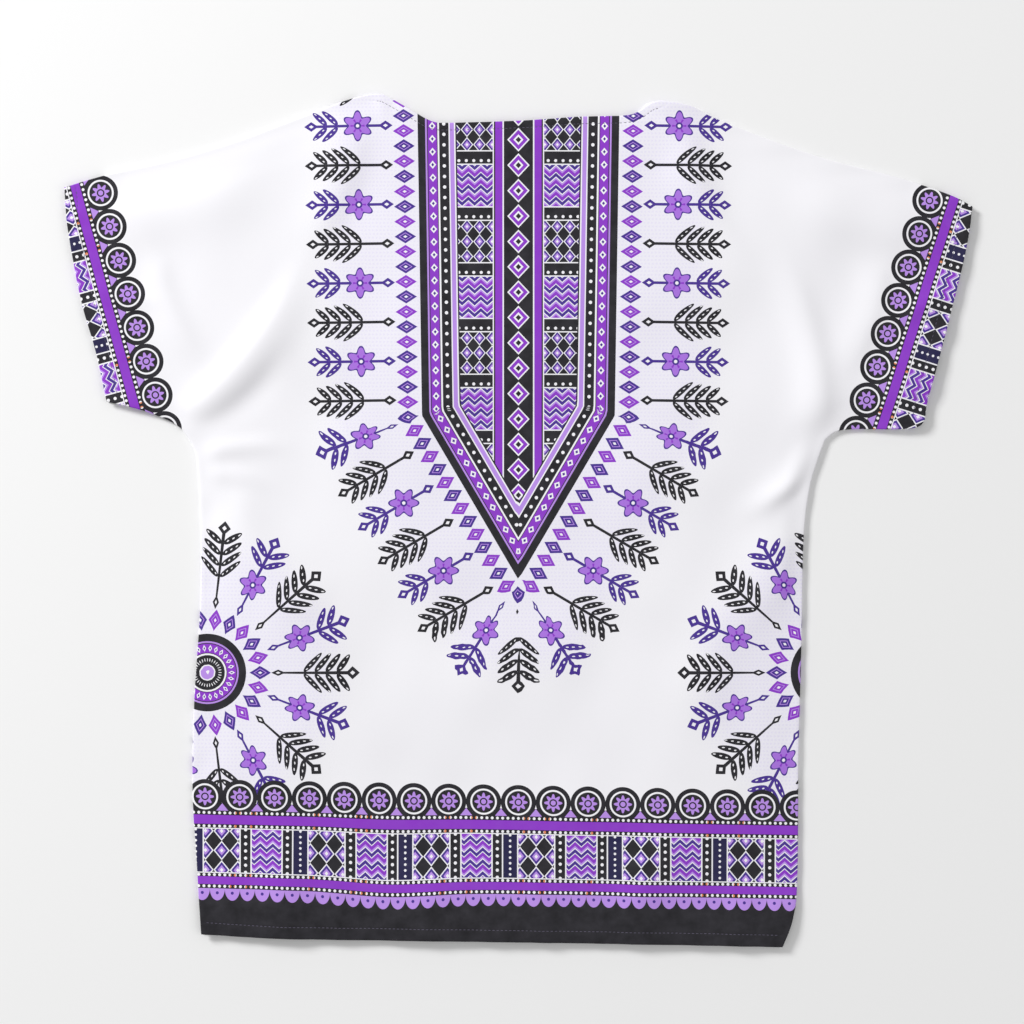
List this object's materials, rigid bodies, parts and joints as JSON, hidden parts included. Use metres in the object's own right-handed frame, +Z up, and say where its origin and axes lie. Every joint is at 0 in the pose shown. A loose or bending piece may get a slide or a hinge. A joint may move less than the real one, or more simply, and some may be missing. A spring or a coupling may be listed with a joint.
{
  "type": "dashiki shirt",
  "caption": "Child's short-sleeved dashiki shirt lying flat, front and back panels cut in one with the sleeves, with turned and stitched neck, cuffs and bottom edge.",
  "frame": {"origin": "on the surface that the shirt lies on, below the middle of the shirt's bounding box", "axes": "+Z up off the surface through the back panel and then the front panel; +Y towards the neck; +X across the shirt, from cuff to cuff, to the right as it is seen from above with the neck at the top"},
  "size_m": [0.5367, 0.5042, 0.0058],
  "materials": {
    "printed_cotton": "matte",
    "black_border": "matte",
    "sewing_thread": "satin"
  },
  "bodies": {
    "root": {"front": "printed_cotton", "back": "printed_cotton", "front_neck_hem": "printed_cotton", "back_neck_hem": "printed_cotton", "front_left_cuff_hem": "printed_cotton", "back_left_cuff_hem": "printed_cotton", "front_right_cuff_hem": "printed_cotton", "back_right_cuff_hem": "printed_cotton", "front_bottom_hem": "black_border", "back_bottom_hem": "black_border"}
  },
  "joints": []
}
